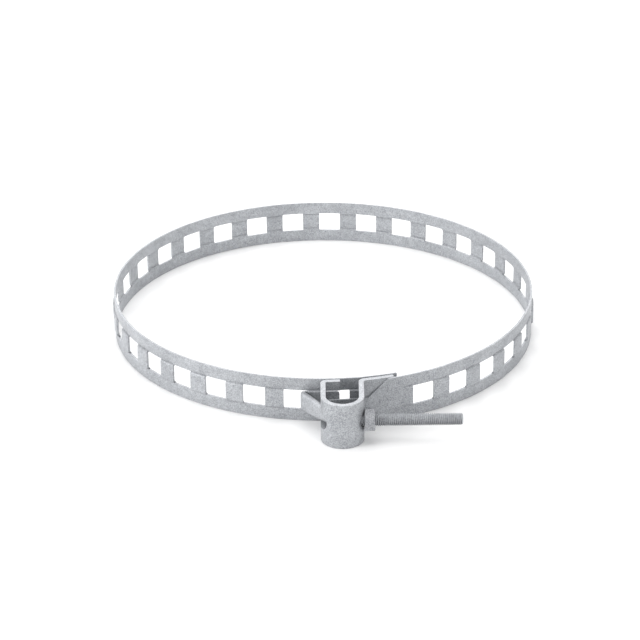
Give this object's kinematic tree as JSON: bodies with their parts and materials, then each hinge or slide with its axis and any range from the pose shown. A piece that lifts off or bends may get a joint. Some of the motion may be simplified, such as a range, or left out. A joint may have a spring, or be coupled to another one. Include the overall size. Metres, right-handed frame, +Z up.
{
  "type": "street light pole band bracket",
  "caption": "Galvanized ladder-slotted steel band that clamps round a pole, with a folded U saddle, hook bolt and nut at the front to carry a street light arm.",
  "frame": {"origin": "on the pole's axis, at the strap's mid-height", "axes": "+Z up along the pole, -Y out through the saddle's round front, +X along the bolt towards its free threaded end"},
  "size_m": [0.3612, 0.4039, 0.038],
  "materials": {
    "galvanized_sheet": "hot-dip galvanized, dull and mottled",
    "galvanized_plate": "hot-dip galvanized, slightly brighter than the strap",
    "galvanized_bar": "hot-dip galvanized forging with a rolled thread",
    "galvanized_nut": "hot-dip galvanized"
  },
  "bodies": {
    "band": {"band_strap": "galvanized_sheet", "saddle_bracket": "galvanized_plate"},
    "bolt": {"hook_bolt": "galvanized_bar"},
    "nut": {"hex_nut": "galvanized_nut"}
  },
  "joints": [
    {"name": "bolt_draw", "type": "slide", "parent": "band", "child": "bolt", "axis": [1, 0, 0], "range_m": [-0.005, 0]},
    {"name": "nut_spin", "type": "hinge", "parent": "band", "child": "nut", "pos_m": [0.0385, -0.2135, 0], "axis": [1, 0, 0], "range_deg": [0, 1200]}
  ],
  "couplings": [
    {"joint": "nut_spin", "follows": "bolt_draw", "rad_per_m": -4188.8}
  ]
}
